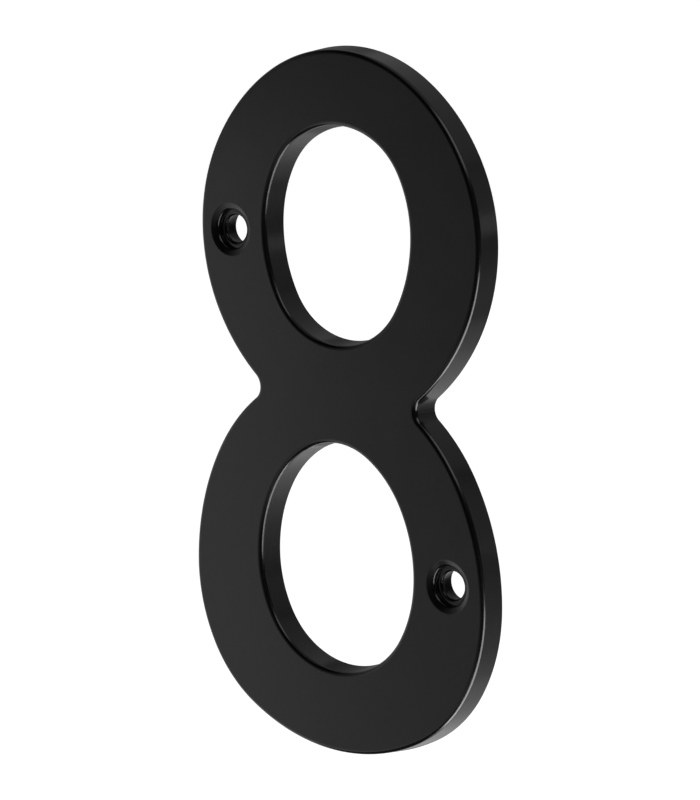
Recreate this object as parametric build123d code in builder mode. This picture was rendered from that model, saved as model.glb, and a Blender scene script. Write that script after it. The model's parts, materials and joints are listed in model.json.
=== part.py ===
"""House number eight: one die-cast plate, screwed to a wall through two recessed holes.

The plate stands upright with its flat back on the wall plane (Y = 0) and its front facing -Y.
X runs to the right as seen from the front and Z runs up, from the middle of the plate's back.
Every outline size is given on the back, where the drafted plate is largest and its counters smallest.
"""

import os
from math import cos, radians, sin

from build123d import *

# Plate
height = 101.6
thickness = 3.75
draft_angle = 6.0
waist_radius = 2.1
front_edge_radius = 0.7

# Upper bowl: the rise is from its widest level to the top of the plate
upper_bowl_width = 53.0
upper_bowl_height = 54.2
upper_bowl_rise = 26.5
upper_bowl_fullness = (1.08, 1.135)

# Lower bowl: its height follows from the plate, the upper bowl and how far the two bowls overlap
lower_bowl_width = 55.5
lower_bowl_rise = 24.9
bowl_overlap = 8.5
lower_bowl_fullness = (0.99, 0.85)

# Bars of the figure: on its centre line, and at the sides of the two bowls
top_bar = 11.3
bridge_bar = 14.8
bottom_bar = 12.5
upper_side_bar = 13.3
lower_side_bar = 13.7

# Counters, the two openings: each rise is from the widest level to the end far from the bridge
upper_counter_height = 30.4
upper_counter_rise = 14.5
upper_counter_fullness = (0.855, 0.835)
lower_counter_rise = 15.25
lower_counter_fullness = (1.13, 0.91)

# A quarter of a bowl or counter is three tangent arcs, from its side over its shoulder to its end
arc_turn = 90 / 3

# Screw holes for wood screws with a 3.5 mm shank: a dished rim for the head, a recess and the bore,
# which opens out towards the back
bore_radius = 2.0
bore_edge_radius = 0.15
relief_width = 0.4
relief_depth = 1.85
recess_radius = 2.82
recess_depth = 1.12
recess_edge_radius = 0.2
dish_width = 1.0
dish_depth = 0.44
rim_radius = 1.0
upper_hole_from_side = 6.3
upper_hole_from_top = 27.2
lower_hole_from_side = 6.8
lower_hole_from_bottom = 27.85

# Levels, up from the middle of the plate
top = height / 2
bottom = -height / 2
upper_bowl_level = top - upper_bowl_rise
upper_bowl_end = top - upper_bowl_height
lower_bowl_level = bottom + lower_bowl_rise
lower_bowl_end = upper_bowl_end + bowl_overlap
upper_counter_top = top - top_bar
upper_counter_level = upper_counter_top - upper_counter_rise
upper_counter_end = upper_counter_top - upper_counter_height
lower_counter_end = upper_counter_end - bridge_bar
lower_counter_bottom = bottom + bottom_bar
lower_counter_level = lower_counter_bottom + lower_counter_rise

# Counter widths left between the side bars
upper_counter_width = upper_bowl_width - 2 * upper_side_bar
lower_counter_width = lower_bowl_width - 2 * lower_side_bar

wall_plane = Plane.XZ
front_plane = Plane.XZ.offset(thickness)

upper_hole = (upper_hole_from_side - upper_bowl_width / 2, top - upper_hole_from_top)
lower_hole = (lower_bowl_width / 2 - lower_hole_from_side, bottom + lower_hole_from_bottom)


def quarter_radii(half_width, rise, fullness):
    """Radii of the side, shoulder and end arcs that make up one quarter of an oval.

    The shoulder's radius is fullness times the shorter of half_width and rise: less than 1 draws a
    squarer oval and more than 1 a leaner one. The other two radii follow from the quarter's size:
        half_width = side * flat + shoulder * middle + end * steep
        rise = side * steep + shoulder * middle + end * flat
    """
    steep = sin(radians(arc_turn))
    flat = 1 - cos(radians(arc_turn))
    middle = 1 - steep - flat
    shoulder = fullness * min(half_width, rise)
    across = half_width - shoulder * middle
    up = rise - shoulder * middle
    side = (up * steep - across * flat) / (steep**2 - flat**2)
    end = (across * steep - up * flat) / (steep**2 - flat**2)
    return side, shoulder, end


def oval(width, top_level, widest_level, bottom_level, fullness):
    """Oval drawn as tangent arcs from its lowest point up one side to its top, then mirrored.

    Fullness is given for the quarters above and below the widest level.
    """
    above, below = fullness
    side_above, shoulder_above, end_above = quarter_radii(width / 2, top_level - widest_level, above)
    side_below, shoulder_below, end_below = quarter_radii(width / 2, widest_level - bottom_level, below)
    with BuildSketch() as outline:
        with BuildLine():
            arc = JernArc((0, bottom_level), (1, 0), end_below, arc_turn)
            for radius in (shoulder_below, side_below, side_above, shoulder_above, end_above):
                arc = JernArc(arc @ 1, arc % 1, radius, arc_turn)
            mirror(about=Plane.YZ)
        make_face()
    return outline.sketch


upper_bowl = oval(
    upper_bowl_width, top, upper_bowl_level, upper_bowl_end, upper_bowl_fullness
)
lower_bowl = oval(
    lower_bowl_width, lower_bowl_end, lower_bowl_level, bottom, lower_bowl_fullness
)
upper_counter = oval(
    upper_counter_width,
    upper_counter_top,
    upper_counter_level,
    upper_counter_end,
    upper_counter_fullness,
)
lower_counter = oval(
    lower_counter_width,
    lower_counter_end,
    lower_counter_level,
    lower_counter_bottom,
    lower_counter_fullness,
)

with BuildPart() as house_number:
    # Figure: two overlapping bowls with their open counters
    with BuildSketch(wall_plane):
        add(upper_bowl)
        add(lower_bowl)
        add(upper_counter, mode=Mode.SUBTRACT)
        add(lower_counter, mode=Mode.SUBTRACT)
    extrude(amount=thickness)

    # Draft: every wall leans in from the wall plane, so that the casting leaves its die
    walls = house_number.faces().filter_by(GeomType.CYLINDER)
    draft(walls, wall_plane, draft_angle)

    # Waist: the drafted walls of the two bowls meet in a hyperbola on each side, rounded here
    notches = house_number.edges().filter_by(GeomType.HYPERBOLA)
    fillet(notches, waist_radius)

    # Soft front edge round the figure and both counters
    front_face = house_number.faces().sort_by(Axis.Y)[0]
    fillet(front_face.edges(), front_edge_radius)

    # Screw holes: a stepped bore, with a soft edge where the step turns into the bore
    with Locations(front_plane):
        with Locations(upper_hole, lower_hole):
            CounterBoreHole(bore_radius, recess_radius, recess_depth, thickness)
    hole_edges = house_number.edges(Select.LAST).filter_by(GeomType.CIRCLE)
    rims = hole_edges.group_by(Axis.Y)[0]
    bore_fronts = hole_edges.group_by(SortBy.RADIUS)[0].group_by(Axis.Y)[0]
    fillet(bore_fronts, bore_edge_radius)

    # Back reliefs: the bores widen to the wall plane, as cored holes do
    back_face = house_number.faces().sort_by(Axis.Y)[-1]
    bore_backs = back_face.edges().filter_by(lambda edge: edge.is_closed)
    chamfer(bore_backs, relief_width, relief_depth, reference=back_face)

    # Dished rims: shallow cones that run out softly into the front and turn sharply into the recess
    front_face = house_number.faces().sort_by(Axis.Y)[0]
    chamfer(rims, dish_width, dish_depth, reference=front_face)
    dish_edges = house_number.edges(Select.LAST).filter_by(GeomType.CIRCLE).group_by(Axis.Y)
    rims, recess_edges = dish_edges[0], dish_edges[1]
    fillet(rims, rim_radius)
    fillet(recess_edges, recess_edge_radius)

house_number.part.label = "house_number"

os.makedirs("parts", exist_ok=True)
export_step(house_number.part, "parts/house_number.step")
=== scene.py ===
# %% [markdown]
# # A house number in black gloss coat
# The object is one die-cast zinc plate in the form of the figure eight, coated black and made to be
# screwed to a wall. Its CAD model fixes every size. This lesson loads that model as a frame, works the
# plate's surface out again as smooth arrays, gives it the coat, and sets up the camera and the studio
# of the photograph. Everything is in metres: X runs to the right, Z up, and the front of the plate
# faces -Y.

# %% Load the CAD frame
import json
import math

import bpy
import numpy as np
from mathutils import Matrix, Vector
from mathutils.geometry import tessellate_polygon


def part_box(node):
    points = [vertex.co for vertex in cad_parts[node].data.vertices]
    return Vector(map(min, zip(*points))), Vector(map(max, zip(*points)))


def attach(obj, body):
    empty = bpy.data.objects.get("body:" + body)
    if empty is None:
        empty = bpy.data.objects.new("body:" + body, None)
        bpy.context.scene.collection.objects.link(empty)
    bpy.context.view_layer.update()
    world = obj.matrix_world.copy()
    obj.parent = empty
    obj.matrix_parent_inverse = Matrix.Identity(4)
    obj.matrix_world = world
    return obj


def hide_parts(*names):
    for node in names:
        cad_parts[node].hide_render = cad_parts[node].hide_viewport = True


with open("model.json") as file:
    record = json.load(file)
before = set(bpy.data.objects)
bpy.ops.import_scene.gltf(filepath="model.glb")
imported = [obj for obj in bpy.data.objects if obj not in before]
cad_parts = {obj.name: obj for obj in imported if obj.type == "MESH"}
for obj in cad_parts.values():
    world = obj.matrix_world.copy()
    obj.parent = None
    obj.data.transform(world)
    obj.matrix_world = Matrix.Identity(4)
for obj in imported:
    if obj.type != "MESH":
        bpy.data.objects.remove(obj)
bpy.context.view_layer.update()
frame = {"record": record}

MM = 0.001
plate_low, plate_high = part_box("house_number")
plate_size = plate_high - plate_low
print("CAD plate, mm:", [round(side / MM, 2) for side in plate_size])

# %% [markdown]
# ## Sizes of the figure
# The width, height and thickness of the plate are read from the CAD model. The other sizes are those of
# a pattern maker's drawing: the bars of the figure, and the levels at which each oval is widest and
# ends. They hold on the back of the plate, where the drafted casting is largest. Levels are counted
# from the top and the bottom, so that the bars stay as drawn if one size changes.

# %% Sizes of the outline, on the back of the plate
UPPER_BOWL_WIDTH = 53.0 * MM
UPPER_BOWL_HEIGHT = 54.2 * MM
UPPER_BOWL_RISE = 26.5 * MM
LOWER_BOWL_RISE = 24.9 * MM
BOWL_OVERLAP = 8.5 * MM
TOP_BAR = 11.3 * MM
BRIDGE_BAR = 14.8 * MM
BOTTOM_BAR = 12.5 * MM
UPPER_SIDE_BAR = 13.3 * MM
LOWER_SIDE_BAR = 13.7 * MM
UPPER_COUNTER_HEIGHT = 30.4 * MM
UPPER_COUNTER_RISE = 14.5 * MM
LOWER_COUNTER_RISE = 15.25 * MM

thickness = plate_size.y
top = plate_high.z
bottom = plate_low.z

upper_bowl_level = top - UPPER_BOWL_RISE
upper_bowl_end = top - UPPER_BOWL_HEIGHT
lower_bowl_width = plate_size.x
lower_bowl_level = bottom + LOWER_BOWL_RISE
lower_bowl_end = upper_bowl_end + BOWL_OVERLAP

upper_counter_width = UPPER_BOWL_WIDTH - 2 * UPPER_SIDE_BAR
upper_counter_top = top - TOP_BAR
upper_counter_level = upper_counter_top - UPPER_COUNTER_RISE
upper_counter_end = upper_counter_top - UPPER_COUNTER_HEIGHT
lower_counter_width = lower_bowl_width - 2 * LOWER_SIDE_BAR
lower_counter_end = upper_counter_end - BRIDGE_BAR
lower_counter_bottom = bottom + BOTTOM_BAR
lower_counter_level = lower_counter_bottom + LOWER_COUNTER_RISE
print("counter widths, mm:", round(upper_counter_width / MM, 2), round(lower_counter_width / MM, 2))

# %% [markdown]
# ## Ovals of tangent arcs
# The eight is two overlapping bowls with an open counter in each. All four are ovals of tangent arcs,
# as a pattern maker draws them with compasses: the outward normal turns steadily, and every 30 degrees
# the radius changes. Bezier curves could trace them too, but a drafted wall and a rounded edge need
# parallel curves, and a Bezier curve has no exact one. Here a point follows from the angle of its
# normal: it is the centre of the arc that the angle belongs to, plus that arc's radius along the
# normal. A parallel curve is the same formula with a larger or smaller radius.

# %% Arcs and points of an oval
ARC_TURN = math.radians(30)
ARCS_PER_HALF = 6
DOWN = -math.pi / 2
UP = math.pi / 2


def direction(angle):
    """Unit vectors (cosine, sine) of an array of angles."""
    return np.stack([np.cos(angle), np.sin(angle)], axis=-1)


def quarter_radii(half_width, rise, fullness):
    """Radii of the end, shoulder and side arcs of a quarter oval.

    The shoulder is fullness times the shorter of half_width and rise. The other two solve
    half_width = side * flat + shoulder * middle + end * steep and
    rise = side * steep + shoulder * middle + end * flat, where middle = 1 - steep - flat.
    """
    steep = math.sin(ARC_TURN)
    flat = 1 - math.cos(ARC_TURN)
    shoulder = fullness * min(half_width, rise)
    left_over = np.array([half_width, rise]) - shoulder * (1 - steep - flat)
    end, side = np.linalg.solve([[steep, flat], [flat, steep]], left_over)
    return end, shoulder, side


def oval_arcs(width, top_level, widest_level, bottom_level, fullness):
    """Centres and radii of the six arcs up the right half of an oval.

    An arc's chord is its radius times the change of the normal, so the arcs' starts are a running
    sum of chords from the lowest point, and each centre lies one radius behind its start.
    """
    above, below = fullness
    lower = quarter_radii(width / 2, widest_level - bottom_level, below)
    upper = quarter_radii(width / 2, top_level - widest_level, above)
    radii = np.array([*lower, *upper[::-1]])[:, None]
    normals = direction(DOWN + ARC_TURN * np.arange(ARCS_PER_HALF + 1))
    chords = radii * np.diff(normals, axis=0)
    starts = np.array([0, bottom_level]) + np.cumsum(chords, axis=0) - chords
    return starts - radii * normals[:-1], radii[:, 0]


def oval_points(arcs, angle, grow):
    """Points of an oval at the given angles of its normal, moved outwards by grow.

    point = centre of the arc + (radius of the arc + grow) * normal. The left half mirrors the right.
    """
    centres, radii = arcs
    folded = np.arcsin(np.sin(angle))
    arc = np.clip((folded - DOWN) // ARC_TURN, 0, ARCS_PER_HALF - 1).astype(int)
    mirrored = np.stack([np.sign(np.cos(angle)), np.ones_like(angle)], axis=-1)
    return centres[arc] * mirrored + (radii[arc] + grow)[..., None] * direction(angle)


print("arcs in each oval:", 2 * ARCS_PER_HALF)

# %% [markdown]
# ## Bowls and counters
# Each oval has a width, three levels and a fullness for its shoulders above and below the widest
# level. A fullness under 1 draws a squarer oval and one over 1 a leaner one. Plain ellipses would be
# shorter to write, but the bowls and counters of a numeral are seldom ellipses, and the fullness lets
# each quarter follow the outline in the photograph.

# %% The four ovals
UPPER_BOWL_FULLNESS = (1.08, 1.135)
LOWER_BOWL_FULLNESS = (0.99, 0.85)
UPPER_COUNTER_FULLNESS = (0.855, 0.835)
LOWER_COUNTER_FULLNESS = (1.13, 0.91)

upper_bowl = oval_arcs(
    UPPER_BOWL_WIDTH, top, upper_bowl_level, upper_bowl_end, UPPER_BOWL_FULLNESS
)
lower_bowl = oval_arcs(
    lower_bowl_width, lower_bowl_end, lower_bowl_level, bottom, LOWER_BOWL_FULLNESS
)
upper_counter = oval_arcs(
    upper_counter_width,
    upper_counter_top,
    upper_counter_level,
    upper_counter_end,
    UPPER_COUNTER_FULLNESS,
)
lower_counter = oval_arcs(
    lower_counter_width,
    lower_counter_end,
    lower_counter_level,
    lower_counter_bottom,
    LOWER_COUNTER_FULLNESS,
)
print("upper bowl radii, mm:", np.round(upper_bowl[1] / MM, 2))
print("lower bowl radii, mm:", np.round(lower_bowl[1] / MM, 2))

# %% [markdown]
# ## The rounded waist
# Where the bowls overlap, the casting has a rounded notch on each side. A Bevel modifier could round it
# roughly. Here it is an exact arc that touches both bowls from outside, so its centre lies one bowl
# radius plus one notch radius from each bowl's shoulder centre: the crossing of two circles. The
# outline runs up the lower bowl, back along the notch and on up the upper bowl. It is worked out for
# every level of the plate at once, because the draft moves the bowls in a little at each level.

# %% Outline of the whole figure
WAIST_RADIUS = 2.1 * MM
BOWL_STEPS = 200
WAIST_STEPS = 48

# The two shoulders that meet at the waist, counted up the arcs of each bowl
LOWER_SHOULDER = 4
UPPER_SHOULDER = 1


def notch_centre(lower_reach, upper_reach):
    """Point right of the waist at those distances from the lower and the upper shoulder's centre.

    Along the line between the centres it lies at (gap^2 + lower_reach^2 - upper_reach^2) / (2 * gap),
    and its distance from that line completes a right triangle with lower_reach.
    """
    lower_centre = lower_bowl[0][LOWER_SHOULDER]
    line = upper_bowl[0][UPPER_SHOULDER] - lower_centre
    gap = math.hypot(*line)
    along = line / gap
    across = np.array([along[1], -along[0]])
    up = (gap**2 + lower_reach**2 - upper_reach**2) / (2 * gap)
    out = np.sqrt(lower_reach**2 - up**2)
    return lower_centre + up[:, None] * along + out[:, None] * across


def figure_outline(inset, waist):
    """Closed outline of the two bowls moved in by inset, with that notch radius, a row for each level.

    The right half is three runs of normals: up the lower bowl to the angle where the notch leaves it,
    round the notch, and up the upper bowl from the angle where the notch joins it. The left half
    mirrors the right.
    """
    lower_reach = lower_bowl[1][LOWER_SHOULDER] - inset + waist
    upper_reach = upper_bowl[1][UPPER_SHOULDER] - inset + waist
    centre = notch_centre(lower_reach, upper_reach)
    to_lower = centre - lower_bowl[0][LOWER_SHOULDER]
    to_upper = centre - upper_bowl[0][UPPER_SHOULDER]
    leave = np.arctan2(to_lower[:, 1], to_lower[:, 0])[:, None]
    join = np.arctan2(to_upper[:, 1], to_upper[:, 0])[:, None]

    share = np.linspace(0, 1, BOWL_STEPS + 1)
    notch_share = np.linspace(0, 1, WAIST_STEPS + 1)[1:-1]
    notch_normal = direction(leave + notch_share * (join - leave))
    lower = oval_points(lower_bowl, DOWN + share * (leave - DOWN), -inset[:, None])
    notch = centre[:, None] - waist[:, None, None] * notch_normal
    upper = oval_points(upper_bowl, join + share * (UP - join), -inset[:, None])
    right = np.concatenate([lower, notch, upper], axis=1)
    left = right[:, -2:0:-1] * [-1, 1]
    return np.concatenate([right, left], axis=1)


back_outline = figure_outline(np.zeros(1), np.full(1, WAIST_RADIUS))[0]
waist_width = 2 * back_outline[BOWL_STEPS : BOWL_STEPS + WAIST_STEPS, 0].min()
print("outline points:", len(back_outline), "waist across, mm:", round(waist_width / MM, 2))

# %% [markdown]
# ## The wall's section
# Seen in section, every wall of the plate starts sharp at the back, leans in by the draft that lets the
# casting out of its die, and turns over a small round into the flat front. The section is a few corners
# with a round in each. A guard point just outside each round keeps the stretch beside it truly flat, so
# that the light doesn't bend where the real surface doesn't.

# %% Section of the walls
STEP_ANGLE = math.radians(5)
GUARD = 0.04 * MM
DRAFT_SLOPE = math.tan(math.radians(6))
FRONT_EDGE_RADIUS = 0.7 * MM


def rounded(corners, radii):
    """Path through the corners of a section, with an arc of the given radius at each inner corner.

    The arc leaves its first leg at radius * tan(turn / 2) before the corner. Its points are the arm
    from the centre to that place, swung round by growing shares of the turn.
    """
    corners = np.array(corners)
    path = [corners[:1]]
    for before, corner, after, radius in zip(corners, corners[1:], corners[2:], radii):
        arrive = (corner - before) / np.linalg.norm(corner - before)
        leave = (after - corner) / np.linalg.norm(after - corner)
        turn = math.atan2(arrive[0] * leave[1] - arrive[1] * leave[0], arrive @ leave)
        reach = radius * math.tan(abs(turn) / 2)
        signed_radius = math.copysign(radius, turn)
        side = np.array([-arrive[1], arrive[0]]) * signed_radius
        centre = corner - arrive * reach + side
        swing = np.linspace(0, turn, math.ceil(abs(turn) / STEP_ANGLE) + 1)[:, None]
        arc = centre - side * np.cos(swing) + signed_radius * arrive * np.sin(swing)
        path += [[corner - arrive * (reach + GUARD)], arc, [corner + leave * (reach + GUARD)]]
    return np.concatenate([*path, corners[-1:]])


front_inset = thickness * DRAFT_SLOPE
wall_inset, wall_y = rounded(
    [(0, 0), (front_inset, -thickness), (front_inset + FRONT_EDGE_RADIUS, -thickness)],
    [FRONT_EDGE_RADIUS],
).T
print("wall levels:", len(wall_y), "front inset, mm:", round(wall_inset[-1] / MM, 3))

# %% [markdown]
# ## The screw hole's section
# A screw hole is a bore that opens out towards the back, as cored holes do, steps out to a recess
# towards the front, and ends in a shallow dished rim for the screw's head. The bore's radius and the
# holes' places are read from the CAD model's mounts. The coat flows over small edges, so those of the
# bore and the recess are softer here than on the bare casting, and they catch the thin arcs of light
# that the photograph shows in the holes. The rim is a little crisper than on the casting, to match the
# photograph. The surface moves by about a tenth of a millimetre at most.

# %% Section of the screw holes
mounts = {mount["name"]: mount for mount in frame["record"]["mounts"]}
BORE_RADIUS = mounts["upper_screw_hole"]["dims"]["r_mm"] * MM
BORE_EDGE_RADIUS = 0.42 * MM
RELIEF_WIDTH = 0.4 * MM
RELIEF_DEPTH = 1.85 * MM
RECESS_RADIUS = 2.82 * MM
RECESS_DEPTH = 1.12 * MM
RECESS_EDGE_RADIUS = 0.6 * MM
DISH_WIDTH = 1.0 * MM
DISH_DEPTH = 0.44 * MM
RIM_RADIUS = 0.5 * MM
CORNER_RADIUS = 0.05 * MM

dish_radius = RECESS_RADIUS + DISH_WIDTH
recess_floor_y = RECESS_DEPTH - thickness
dish_foot_y = DISH_DEPTH - thickness
past_rim = dish_radius + RIM_RADIUS / 3
hole_radius, hole_y = rounded(
    [
        (BORE_RADIUS + RELIEF_WIDTH, 0),
        (BORE_RADIUS, -RELIEF_DEPTH),
        (BORE_RADIUS, recess_floor_y),
        (RECESS_RADIUS, recess_floor_y),
        (RECESS_RADIUS, dish_foot_y),
        (dish_radius, -thickness),
        (past_rim, -thickness),
    ],
    [CORNER_RADIUS, BORE_EDGE_RADIUS, CORNER_RADIUS, RECESS_EDGE_RADIUS, RIM_RADIUS],
).T
print("screw hole levels:", len(hole_y), "rim across, mm:", round(2 * dish_radius / MM, 2))

# %% [markdown]
# ## Walls and holes as grids
# Five grids, each a closed outline carried along a section, make the outer wall, the two counters and
# the two screw holes. Cutting the holes with a Boolean modifier would leave long thin triangles that
# mirror the studio unevenly. Grids keep every ring of points even, which a gloss coat needs.

# %% Grids of the walls and the holes
COUNTER_STEPS = 360
HOLE_STEPS = 144


def on_levels(outline, level_y):
    """Grid of points (x, y, z) from an outline (x, z) for each level and the levels' places along Y."""
    depth = np.broadcast_to(level_y[:, None], outline.shape[:2])
    return np.stack([outline[..., 0], depth, outline[..., 1]], axis=-1)


def counter_grid(arcs):
    """Wall of a counter: the oval grown by the wall's inset, clockwise so that it faces inwards."""
    angle = np.linspace(0, -2 * math.pi, COUNTER_STEPS, endpoint=False)
    angle = np.broadcast_to(angle, (len(wall_y), COUNTER_STEPS))
    return on_levels(oval_points(arcs, angle, wall_inset[:, None]), wall_y)


def hole_grid(mount):
    """Wall of a screw hole: a circle of the section's radius about the mount's axis, clockwise."""
    x, _, z = mount["pos_m"]
    angle = np.linspace(0, -2 * math.pi, HOLE_STEPS, endpoint=False)
    return on_levels(np.array([x, z]) + hole_radius[:, None, None] * direction(angle), hole_y)


# On the front round the notch's radius grows by what the bowls move in past their leaning walls
past_wall = np.maximum(wall_inset + wall_y * DRAFT_SLOPE, 0)
grids = [
    on_levels(figure_outline(wall_inset, WAIST_RADIUS + past_wall), wall_y),
    counter_grid(upper_counter),
    counter_grid(lower_counter),
    hole_grid(mounts["upper_screw_hole"]),
    hole_grid(mounts["lower_screw_hole"]),
]
print("grids, levels by steps:", [grid.shape[:2] for grid in grids])

# %% [markdown]
# ## Faces of the plate
# The first ring of every grid lies on the wall plane and the last ring on the front. Each grid gives a
# band of quads, and the flat back and front are filled in between the rings, with the counters and the
# holes left open. Blender's own polygon filler does that well for flat faces. Each triangle is then
# turned to face out of the plate.

# %% Quads of the grids and triangles of the flat faces
counts = [grid.shape[0] * grid.shape[1] for grid in grids]
firsts = np.cumsum(counts) - counts
numbers = [
    first + np.arange(count).reshape(grid.shape[:2])
    for first, count, grid in zip(firsts, counts, grids)
]
vertices = np.concatenate([grid.reshape(-1, 3) for grid in grids])


def grid_faces(number):
    """Quads of a grid of vertex numbers that closes on itself along its outline.

    A quad joins a vertex, the next one on its ring, and the same two on the next ring.
    """
    after = np.roll(number, -1, axis=1)
    return np.stack([number[:-1], after[:-1], after[1:], number[1:]], axis=-1).reshape(-1, 4)


def flat_faces(level, facing):
    """Triangles that fill the flat face between one ring of every grid, turned to face along Y.

    A triangle whose cross product points against facing has its corners put in the other order.
    """
    corners = np.concatenate([number[level] for number in numbers])
    loops = [[Vector((x, z, 0)) for x, _, z in grid[level]] for grid in grids]
    triangles = corners[np.array(tessellate_polygon(loops))]
    a, b, c = vertices[triangles].transpose(1, 0, 2)
    turned = np.cross(b - a, c - a)[:, 1] * facing < 0
    triangles[turned] = triangles[turned][:, ::-1]
    return triangles


quads = np.concatenate([grid_faces(number) for number in numbers])
back_faces = flat_faces(level=0, facing=1)
front_faces = flat_faces(level=-1, facing=-1)
print("quads:", len(quads), "back:", len(back_faces), "front:", len(front_faces))

# %% [markdown]
# ## One closed mesh
# The plate is one casting, so one mesh holds it all. It is shaded smooth, because the rounds are fine
# enough to turn every edge, and only the edges on the wall plane are marked sharp: the casting's back
# is flat to its rim. The mesh takes the place of the CAD solid. Its volume, added up from the corners
# of its triangles, should come close to the solid's 11.38 cubic centimetres.

# %% Mesh of the plate
mesh = bpy.data.meshes.new("house_number_surface")
faces = [*quads.tolist(), *back_faces.tolist(), *front_faces.tolist()]
mesh.from_pydata(vertices.tolist(), [], faces)
mesh.shade_smooth()

edge_ends = np.zeros(len(mesh.edges) * 2, np.int32)
mesh.edges.foreach_get("vertices", edge_ends)
on_back = np.abs(vertices[edge_ends.reshape(-1, 2), 1]).max(axis=1) < GUARD / 2
mesh.attributes.new("sharp_edge", "BOOLEAN", "EDGE").data.foreach_set("value", on_back)
mesh.validate()

plate = bpy.data.objects.new("house_number_surface", mesh)
bpy.context.scene.collection.objects.link(plate)
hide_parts("house_number")
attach(plate, "root")

triangles = np.concatenate([quads[:, [0, 1, 2]], quads[:, [0, 2, 3]], back_faces, front_faces])
a, b, c = vertices[triangles].transpose(1, 0, 2)
volume = np.einsum("ij,ij->i", a, np.cross(b, c)).sum() / 6
print("vertices:", len(vertices), "faces:", len(mesh.polygons))
print("volume, cm3:", round(volume * 1e6, 3))

# %% [markdown]
# ## Colours and nodes
# A material is a small tree of nodes. Colours are written as sRGB hex values, as on a colour chart, but
# Blender's shaders count in linear light, so one function turns them. Another adds a node with its
# settings, its values and its links, which keeps each material down to a short list.

# %% Helpers for materials
def linear(hex_colour):
    """Linear red, green, blue and alpha of an sRGB hex colour.

    A share c of full sRGB is c / 12.92 up to 0.04045, and ((c + 0.055) / 1.055) ^ 2.4 above it.
    """
    srgb = np.array([int(hex_colour[k : k + 2], 16) for k in (1, 3, 5)]) / 255
    rgb = np.where(srgb <= 0.04045, srgb / 12.92, ((srgb + 0.055) / 1.055) ** 2.4)
    return [*rgb.tolist(), 1.0]


def bare_material(name):
    """New material with an empty tree of nodes."""
    material = bpy.data.materials.new(name)
    material.use_nodes = True
    material.node_tree.nodes.clear()
    return material


def add_node(material, kind, settings=None, values=None, links=None):
    """New node of a kind, with its settings, input values and links from other nodes' sockets."""
    tree = material.node_tree
    node = tree.nodes.new(kind)
    for name, value in (settings or {}).items():
        setattr(node, name, value)
    for name, value in (values or {}).items():
        node.inputs[name].default_value = value
    for name, socket in (links or {}).items():
        tree.links.new(socket, node.inputs[name])
    return node


print("middle grey #808080, linear:", round(linear("#808080")[0], 3))

# %% [markdown]
# ## The coat
# The plate is sprayed and baked black over the zinc casting. A baked coat is smooth and glossy, with
# orange peel, a shallow unevenness of about a millimetre, and with slight clouds of shade and sheen
# about eight millimetres across. The peel is a fine noise drawn as bump. One coarser noise draws the
# clouds in both the shade and the roughness. An image texture could do the same, but noise needs no
# unwrapping and has no seams. The IOR started from 1.5, which is typical of a lacquer, and came down
# until the front gleamed as little as it does in the photograph.

# %% Black baked coat
ORANGE_PEEL = 1.2 * MM
PEEL_HEIGHT = 0.02 * MM
PEEL_STRENGTH = 0.05
CLOUD = 8 * MM
CLOUD_LOW = 0.3
CLOUD_HIGH = 0.7
DEEP_SHADE = "#050505"
PALE_SHADE = "#080808"
SMOOTH_SHEEN = 0.18
SOFT_SHEEN = 0.22
COAT_IOR = 1.36

# So dark that the eye gets little but what the gloss mirrors, a little softened and uneven
coat = bare_material("black_baked_coat_on_zinc")
place = add_node(coat, "ShaderNodeTexCoord")
peel = add_node(
    coat,
    "ShaderNodeTexNoise",
    values={"Scale": 1 / ORANGE_PEEL, "Detail": 2.0, "Roughness": 0.5},
    links={"Vector": place.outputs["Object"]},
)
bump = add_node(
    coat,
    "ShaderNodeBump",
    values={"Strength": PEEL_STRENGTH, "Distance": PEEL_HEIGHT},
    links={"Height": peel.outputs["Fac"]},
)
cloud = add_node(
    coat,
    "ShaderNodeTexNoise",
    values={"Scale": 1 / CLOUD, "Detail": 2.0, "Roughness": 0.5},
    links={"Vector": place.outputs["Object"]},
)
sheen = add_node(
    coat,
    "ShaderNodeMapRange",
    values={
        "From Min": CLOUD_LOW,
        "From Max": CLOUD_HIGH,
        "To Min": SMOOTH_SHEEN,
        "To Max": SOFT_SHEEN,
    },
    links={"Value": cloud.outputs["Fac"]},
)
shades = add_node(coat, "ShaderNodeValToRGB", links={"Fac": cloud.outputs["Fac"]})
shades.color_ramp.elements[0].position = CLOUD_LOW
shades.color_ramp.elements[0].color = linear(DEEP_SHADE)
shades.color_ramp.elements[1].position = CLOUD_HIGH
shades.color_ramp.elements[1].color = linear(PALE_SHADE)
gloss = add_node(
    coat,
    "ShaderNodeBsdfPrincipled",
    values={"IOR": COAT_IOR},
    links={
        "Base Color": shades.outputs["Color"],
        "Roughness": sheen.outputs["Result"],
        "Normal": bump.outputs["Normal"],
    },
)
add_node(coat, "ShaderNodeOutputMaterial", links={"Surface": gloss.outputs["BSDF"]})
plate.data.materials.append(coat)
print("material:", coat.name)

# %% [markdown]
# ## Camera
# The photograph was taken from the right and a little above, with a long lens. The camera could be set
# by eye, but a gloss piece shows each degree of error in its mirror images, so its place was fitted to
# the plate's outline in the photograph. It looks almost at the middle of the plate's back.

# %% Camera
AZIMUTH = 41.5
ELEVATION = 10.0
ROLL = math.radians(0.05)
DISTANCE = 491.4 * MM
AIM_LEFT = 0.33 * MM
AIM_UP = 0.47 * MM
FOCAL_PIXELS = 3450
LONG_SIDE_PIXELS = 800
SENSOR_MM = 36
NEAREST = 0.01


def toward(azimuth, elevation):
    """Unit vector from the plate: degrees from the front (-Y) to the right, and degrees above level.

    It is (sin azimuth * cos elevation, -cos azimuth * cos elevation, sin elevation).
    """
    a = math.radians(azimuth)
    e = math.radians(elevation)
    return Vector((math.sin(a) * math.cos(e), -math.cos(a) * math.cos(e), math.sin(e)))


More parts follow.
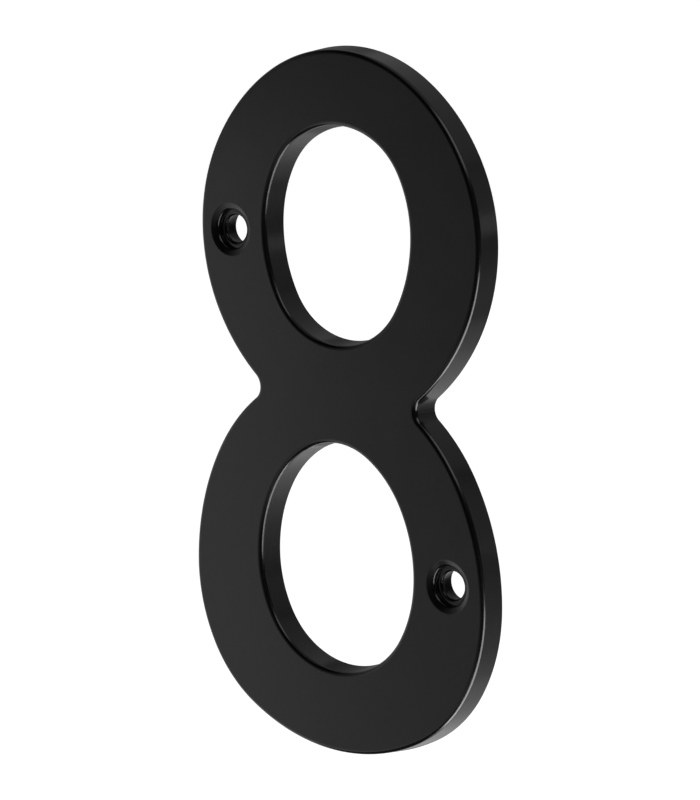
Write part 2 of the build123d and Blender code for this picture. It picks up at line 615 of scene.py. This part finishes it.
camera_data = bpy.data.cameras.new("camera")
camera_data.sensor_width = SENSOR_MM
camera_data.lens = FOCAL_PIXELS / LONG_SIDE_PIXELS * SENSOR_MM
camera_data.clip_start = NEAREST
camera = bpy.data.objects.new("camera", camera_data)
bpy.context.scene.collection.objects.link(camera)
bpy.context.scene.camera = camera

back = toward(AZIMUTH, ELEVATION)
turn = back.to_track_quat("Z", "Y").to_matrix() @ Matrix.Rotation(ROLL, 3, "Z")
aim = turn @ Vector((-AIM_LEFT, AIM_UP, 0))
camera.matrix_world = Matrix.Translation(aim + back * DISTANCE) @ turn.to_4x4()
print("lens, mm:", round(camera_data.lens, 2))
print("camera at, mm:", [round(v / MM, 1) for v in camera.location])

# %% [markdown]
# ## Floor and backdrop
# The photograph's ground is plain white. A floor of white paper lies well below the plate, and a low
# ring of the same paper stands round it, so that the ground is white from every side. Lamps strong
# enough to make paper look pure white would also flood the plate. So the paper is pale grey, and a lift
# of its own light brings it to white only for the camera and for rays that gloss or glass sends on. It
# still takes the plate's shadow.

# %% White paper
FLOOR_LEVEL = -0.35
FLOOR_REACH = 6.0
BACKDROP_RADIUS = 3.0
BACKDROP_TOP = 0.5
BACKDROP_STEPS = 64
PAPER_COLOUR = "#e6e6e6"
PAPER_ROUGHNESS = 0.9
PAPER_LIFT = 0.72
WHITE_LIGHT = "#ffffff"


def sheet(name, corners, material):
    """Stage surface from a grid of points, with a quad between each four neighbours."""
    rows, columns = corners.shape[:2]
    number = np.arange(rows * columns).reshape(rows, columns)
    quads = np.stack(
        [number[:-1, :-1], number[:-1, 1:], number[1:, 1:], number[1:, :-1]], axis=-1
    )
    surface = bpy.data.meshes.new(name)
    surface.from_pydata(corners.reshape(-1, 3).tolist(), [], quads.reshape(-1, 4).tolist())
    surface.materials.append(material)
    staged = bpy.data.objects.new(name, surface)
    bpy.context.scene.collection.objects.link(staged)
    return staged


def strip(name, azimuths, radii, levels, steps, material):
    """Stage surface swept between two azimuths, from one radius and level to another.

    A point is (radius * sin azimuth, -radius * cos azimuth, level).
    """
    azimuth = np.radians(np.linspace(*azimuths, steps + 1))
    around = np.stack([np.sin(azimuth), -np.cos(azimuth)], axis=-1)
    flat = np.array(radii)[:, None, None] * around
    height = np.broadcast_to(np.array(levels)[:, None, None], (2, steps + 1, 1))
    return sheet(name, np.concatenate([flat, height], axis=-1), material)


# Matt uncoated paper: an even pale ground without a gleam
white = bare_material("white_paper_floor")
rays = add_node(white, "ShaderNodeLightPath")
camera_or_gloss = add_node(
    white,
    "ShaderNodeMath",
    {"operation": "ADD"},
    links={0: rays.outputs["Is Camera Ray"], 1: rays.outputs["Is Glossy Ray"]},
)
seen = add_node(
    white,
    "ShaderNodeMath",
    {"operation": "ADD"},
    links={0: camera_or_gloss.outputs["Value"], 1: rays.outputs["Is Transmission Ray"]},
)
lift = add_node(
    white,
    "ShaderNodeMath",
    {"operation": "MULTIPLY"},
    {1: PAPER_LIFT},
    {0: seen.outputs["Value"]},
)
paper = add_node(
    white,
    "ShaderNodeBsdfPrincipled",
    values={
        "Base Color": linear(PAPER_COLOUR),
        "Roughness": PAPER_ROUGHNESS,
        "Emission Color": linear(WHITE_LIGHT),
    },
    links={"Emission Strength": lift.outputs["Value"]},
)
add_node(white, "ShaderNodeOutputMaterial", links={"Surface": paper.outputs["BSDF"]})

floor_side = np.array([-FLOOR_REACH, FLOOR_REACH])
floor_x, floor_y = np.meshgrid(floor_side, floor_side)
floor_z = np.full_like(floor_x, FLOOR_LEVEL)
sheet("floor", np.stack([floor_x, floor_y, floor_z], axis=-1), white)
strip(
    "backdrop",
    azimuths=(0, 360),
    radii=(BACKDROP_RADIUS, BACKDROP_RADIUS),
    levels=(FLOOR_LEVEL, BACKDROP_TOP),
    steps=BACKDROP_STEPS,
    material=white,
)
print("floor at", FLOOR_LEVEL, "m, backdrop from there to", BACKDROP_TOP, "m")

# %% [markdown]
# ## Cards
# A black gloss piece shows little but its surroundings, so a photographer stands cards round it. Dark
# ones bend round the camera's side, lighter towards the lower left, and are mirrored in the front and
# in the rounds beside the bright edge line. Grey ones behind give the walls their tone, a deep one
# among them keeps the bores black, and a black one on the floor draws the dark line along the bottom
# edge. Weaker lamps would darken front and walls alike, and cards can be set for one surface at a time.
# Only mirrored rays see them, so they cast no shadow and light nothing else.

# %% Helpers for cards
CARD_RADIUS = 0.36
CARD_STEPS = 32


def bent_card(name, azimuths, radii, levels, material):
    """Strip bent round the plate that only mirrored rays see."""
    made = strip(name, azimuths, radii, levels, CARD_STEPS, material)
    made.visible_camera = False
    made.visible_diffuse = False
    made.visible_shadow = False
    print(name, "levels, m:", [round(float(level), 3) for level in levels])


def card(name, azimuths, elevations, material):
    """Upright card at the usual radius between two elevations: level = radius * tan elevation."""
    levels = np.maximum(CARD_RADIUS * np.tan(np.radians(elevations)), FLOOR_LEVEL)
    bent_card(name, azimuths, (CARD_RADIUS, CARD_RADIUS), levels, material)


def card_material(name, along, radiance_low, radiance_high):
    """Card that grows lighter along a direction.

    Its radiance is the low value up to the plate's middle and reaches the high one at one card radius.
    """
    material = bare_material(name)
    place = add_node(material, "ShaderNodeTexCoord")
    reach = add_node(
        material,
        "ShaderNodeVectorMath",
        {"operation": "DOT_PRODUCT"},
        {1: [v / CARD_RADIUS for v in along]},
        {0: place.outputs["Object"]},
    )
    fade = add_node(
        material,
        "ShaderNodeMapRange",
        values={"To Min": radiance_low, "To Max": radiance_high},
        links={"Value": reach.outputs["Value"]},
    )
    # The card's own glow is a painted reflection: no lamp lights it, and only the plate's mirror images
    # show it
    glow = add_node(material, "ShaderNodeEmission", links={"Strength": fade.outputs["Result"]})
    add_node(material, "ShaderNodeOutputMaterial", links={"Surface": glow.outputs["Emission"]})
    return material


print("card radius, m:", CARD_RADIUS)

# %% [markdown]
# ## Setting the cards
# Azimuths run from the front to the right and elevations up from level, both in degrees as seen from
# the plate. To place a card, take the surface that is to change, mirror the camera's direction in it,
# and put the card where that points. A card that fades stands for one lit unevenly by the white floor.

# %% Dark, grey and black cards
DOWNWARDS = (0, 0, -1)
LEFT_AND_DOWN = (-2 / 3, 0, -2 / 3)
LOW_CARD_LEVEL = FLOOR_LEVEL + 3 * MM
LOW_CARD_RADII = (0.005, 0.3)
BORE_CARD_RADIUS = 0.35
BORE_CARD_LEVELS = (-0.2, 0.24)

dark = card_material("dark_card", LEFT_AND_DOWN, radiance_low=0.005, radiance_high=1.0)
grey = card_material("grey_card", DOWNWARDS, radiance_low=0.46, radiance_high=0.88)
side_grey = card_material("side_grey_card", DOWNWARDS, radiance_low=0.2, radiance_high=1.1)
dim = card_material("dim_card", DOWNWARDS, radiance_low=0.14, radiance_high=0.36)
deep = card_material("deep_card", DOWNWARDS, radiance_low=0.03, radiance_high=0.1)
black = card_material("black_card", DOWNWARDS, radiance_low=0.02, radiance_high=0.02)

# The black card is a painted dark reflection: the plate's bottom edge mirrors it as a dark line
bent_card(
    "low_card",
    azimuths=(-150, 75),
    radii=LOW_CARD_RADII,
    levels=(LOW_CARD_LEVEL, LOW_CARD_LEVEL),
    material=black,
)
card("left_card", azimuths=(-110, -42.5), elevations=(1.5, 66), material=dark)
card("front_card", azimuths=(-42.5, 35), elevations=(-60, 66), material=dark)
card("right_card", azimuths=(35, 118), elevations=(-60, 33), material=dark)
card("back_card", azimuths=(122, 215), elevations=(-60, -33), material=grey)
card("back_right_card", azimuths=(122, 134), elevations=(-33, 5), material=side_grey)
card("far_card", azimuths=(134, 240), elevations=(-33, 35), material=dim)
# Painted shade for the bores: the deep card darkens their mirror images so that the bores look black
bent_card(
    "bore_card",
    azimuths=(146, 171),
    radii=(BORE_CARD_RADIUS, BORE_CARD_RADIUS),
    levels=BORE_CARD_LEVELS,
    material=deep,
)

# %% [markdown]
# ## Lamps and world
# Two soft boxes light the plate. The one overhead lies on the right, and the small bright one stands
# close by, low on the right: the round of the front edge mirrors it as a thin bright line. A sun or a
# point lamp would leave only dots on a gloss coat, while an area lamp shows as a soft strip. A plain
# white world at under half strength fills in the rest.

# %% Soft boxes and world
WORLD_STRENGTH = 0.45


def soft_box(name, azimuth, elevation, distance, width, height, radiance):
    """Area lamp turned to the plate. Its power is pi * radiance * area, as for a flat matt emitter."""
    lamp = bpy.data.lights.new(name, "AREA")
    lamp.shape = "RECTANGLE"
    lamp.size = width
    lamp.size_y = height
    lamp.energy = math.pi * radiance * width * height
    holder = bpy.data.objects.new(name, lamp)
    holder.location = toward(azimuth, elevation) * distance
    holder.rotation_euler = toward(azimuth, elevation).to_track_quat("Z", "Y").to_euler()
    bpy.context.scene.collection.objects.link(holder)
    print(name, "power, W:", round(lamp.energy, 3))


soft_box(
    "top_box", azimuth=72, elevation=52, distance=0.8, width=0.5, height=0.44, radiance=2.2
)
soft_box(
    "low_box", azimuth=88, elevation=-49, distance=0.28, width=0.161, height=0.39, radiance=10.5
)

scene = bpy.context.scene
scene.view_settings.view_transform = "Standard"
world = bpy.data.worlds.new("studio")
scene.world = world
world.use_nodes = True
sky = world.node_tree.nodes["Background"]
sky.inputs["Color"].default_value = linear(WHITE_LIGHT)
sky.inputs["Strength"].default_value = WORLD_STRENGTH
